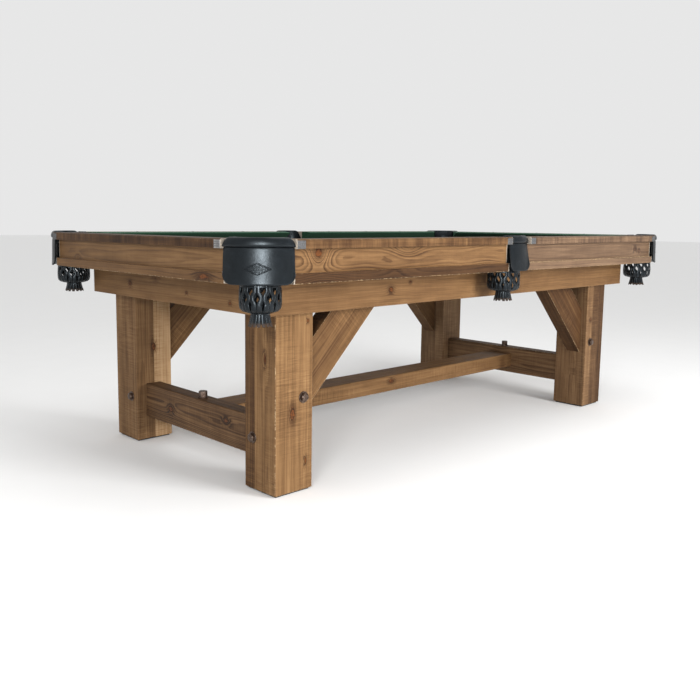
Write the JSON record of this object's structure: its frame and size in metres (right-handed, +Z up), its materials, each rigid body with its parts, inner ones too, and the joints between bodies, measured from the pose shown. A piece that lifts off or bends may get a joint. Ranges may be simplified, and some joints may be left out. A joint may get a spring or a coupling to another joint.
{
  "type": "pool table",
  "caption": "Rustic timber pool table with square legs, knee braces, stretchers, slate bed, cushioned rails and leather net pockets.",
  "frame": {"origin": "on the floor under the middle of the table", "axes": "+X along the table's length, +Y across its width towards the back, +Z up"},
  "size_m": [2.514, 1.397, 0.824],
  "materials": {
    "timber": "rough-sawn pine, brown stain, worn edges, matt",
    "pine": "planed knotty pine, brown stain, low satin",
    "slate": "honed grey slate",
    "cloth": "dark green napped wool cloth",
    "cushion": "gum rubber covered in dark green wool cloth",
    "leather": "black leather with a soft sheen",
    "bolt_iron": "forged iron, brown-black and slightly rusty",
    "foot_rubber": "black rubber",
    "pewter": "dull hammered silver",
    "sight": "dark inlaid dot"
  },
  "bodies": {
    "root": {"foot_pad_front_left": "foot_rubber", "leg_front_left": "timber", "knee_brace_front_left": "timber", "foot_pad_front_right": "foot_rubber", "leg_front_right": "timber", "knee_brace_front_right": "timber", "foot_pad_back_left": "foot_rubber", "leg_back_left": "timber", "knee_brace_back_left": "timber", "foot_pad_back_right": "foot_rubber", "leg_back_right": "timber", "knee_brace_back_right": "timber", "end_stretcher_left": "pine", "stretcher_bolt_left": "bolt_iron", "cross_beam_left": "pine", "end_beam_left": "pine", "end_stretcher_right": "pine", "stretcher_bolt_right": "bolt_iron", "cross_beam_right": "pine", "end_beam_right": "pine", "centre_stretcher": "pine", "side_beam_front": "pine", "side_beam_back": "pine", "slate_left": "slate", "slate_liner_left": "pine", "slate_middle": "slate", "slate_liner_middle": "pine", "slate_right": "slate", "slate_liner_right": "pine", "bed_cloth": "cloth", "rail_front_left": "pine", "apron_front_left": "pine", "cushion_front_left": "cushion", "rail_front_right": "pine", "apron_front_right": "pine", "cushion_front_right": "cushion", "rail_back_left": "pine", "apron_back_left": "pine", "cushion_back_left": "cushion", "rail_back_right": "pine", "apron_back_right": "pine", "cushion_back_right": "cushion", "rail_left_end": "pine", "apron_left_end": "pine", "cushion_left_end": "cushion", "rail_right_end": "pine", "apron_right_end": "pine", "cushion_right_end": "cushion", "pocket_shield_front_left": "leather", "pocket_basket_front_left": "leather", "pocket_shield_front_right": "leather", "pocket_basket_front_right": "leather", "pocket_shield_back_left": "leather", "pocket_basket_back_left": "leather", "pocket_shield_back_right": "leather", "pocket_basket_back_right": "leather", "pocket_shield_front_middle": "leather", "pocket_basket_front_middle": "leather", "pocket_shield_back_middle": "leather", "pocket_basket_back_middle": "leather"}
  },
  "joints": []
}
